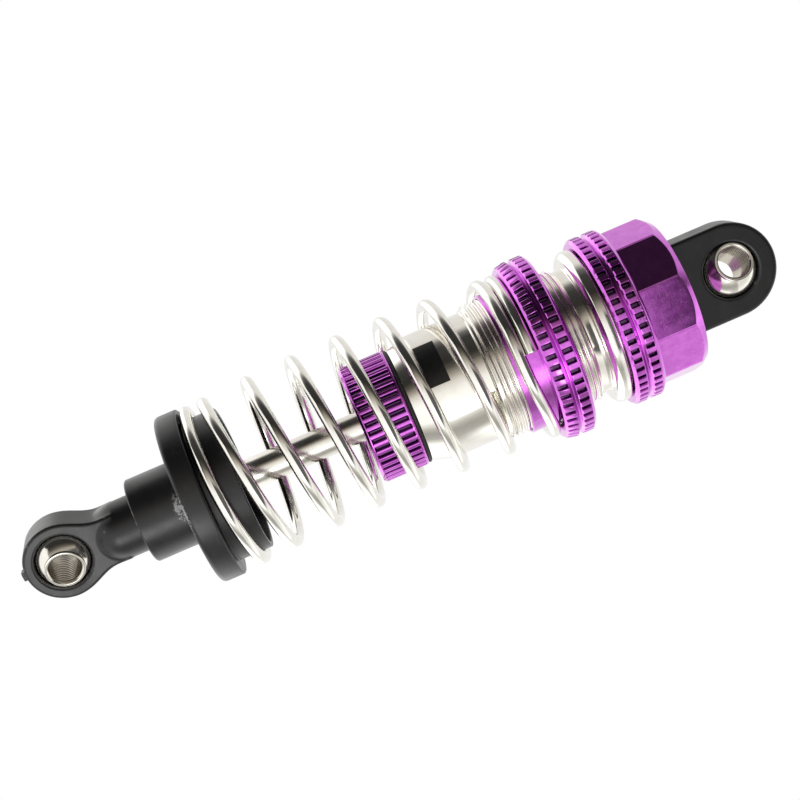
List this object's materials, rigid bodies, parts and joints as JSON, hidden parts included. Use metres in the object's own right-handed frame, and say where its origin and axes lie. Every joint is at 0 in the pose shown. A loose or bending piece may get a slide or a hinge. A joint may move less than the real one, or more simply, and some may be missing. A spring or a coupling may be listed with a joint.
{
  "type": "coilover shock absorber",
  "caption": "Small oil-filled coilover shock for a radio-controlled car: threaded barrel, coil spring, knurled preload collar, and a pivot ball in the eye at each end.",
  "frame": {"origin": "centre of the lower pivot ball", "axes": "+Z along the shaft from the lower pivot ball to the upper one, -Y the front that both eyes face, at full droop"},
  "size_m": [0.0184, 0.0184, 0.0788],
  "materials": {
    "black_plastic": "moulded nylon, satin with a fine grain",
    "purple_anodised": "turned and purple anodised, glossy",
    "nickel_plated": "polished nickel plate",
    "polished_steel": "ground and polished steel",
    "spring_wire": "bright plated spring wire",
    "black_rubber": "moulded rubber",
    "white_plastic": "machined acetal",
    "black_label": "blank printed panel"
  },
  "bodies": {
    "barrel": {"shock_body": "nickel_plated", "body_label": "black_label", "top_cap": "purple_anodised", "bladder": "black_rubber", "upper_eyelet": "black_plastic", "seal_cap": "purple_anodised", "seal_gasket": "black_rubber", "shaft_bushing": "white_plastic", "lower_shaft_seal": "black_rubber", "seal_spacer": "white_plastic", "upper_shaft_seal": "black_rubber", "seal_guide": "white_plastic"},
    "collar_seal": {"collar_oring": "black_rubber"},
    "collar": {"spring_collar": "purple_anodised"},
    "lower_cup": {"lower_spring_cup": "black_plastic", "coil_spring": "spring_wire"},
    "rod": {"piston_shaft": "polished_steel", "piston": "white_plastic", "lower_piston_clip": "polished_steel", "upper_piston_clip": "polished_steel", "lower_rod_end": "black_plastic"},
    "upper_ball": {"upper_pivot_ball": "polished_steel"},
    "lower_ball": {"lower_pivot_ball": "polished_steel"}
  },
  "joints": [
    {"name": "rod_slide", "type": "slide", "parent": "barrel", "child": "lower_cup", "axis": [0, 0, 1], "range_m": [0, 0.012], "stiffness_N_per_m": 900, "springref_m": -0.002, "deforming": ["coil_spring"]},
    {"name": "rod_spin", "type": "hinge", "parent": "lower_cup", "child": "rod", "pos_m": [0, 0, 0], "axis": [0, 0, 1], "continuous": true},
    {"name": "collar_travel", "type": "slide", "parent": "barrel", "child": "collar_seal", "axis": [0, 0, 1], "range_m": [-0.00225, 0.00225]},
    {"name": "collar_turn", "type": "hinge", "parent": "collar_seal", "child": "collar", "pos_m": [0, 0, 0.05], "axis": [0, 0, 1], "range_deg": [-1472.73, 1472.73]},
    {"name": "upper_ball_swing", "type": "hinge", "parent": "barrel", "child": "upper_ball", "pos_m": [0, 0, 0.07], "axis": [-0.1378, -0.9806, 0.1392], "continuous": true},
    {"name": "lower_ball_swing", "type": "hinge", "parent": "rod", "child": "lower_ball", "pos_m": [0, 0, 0], "axis": [0.5299, -0.848, 0], "continuous": true}
  ],
  "couplings": [
    {"joint": "collar_turn", "follows": "collar_travel", "rad_per_m": 11424}
  ]
}
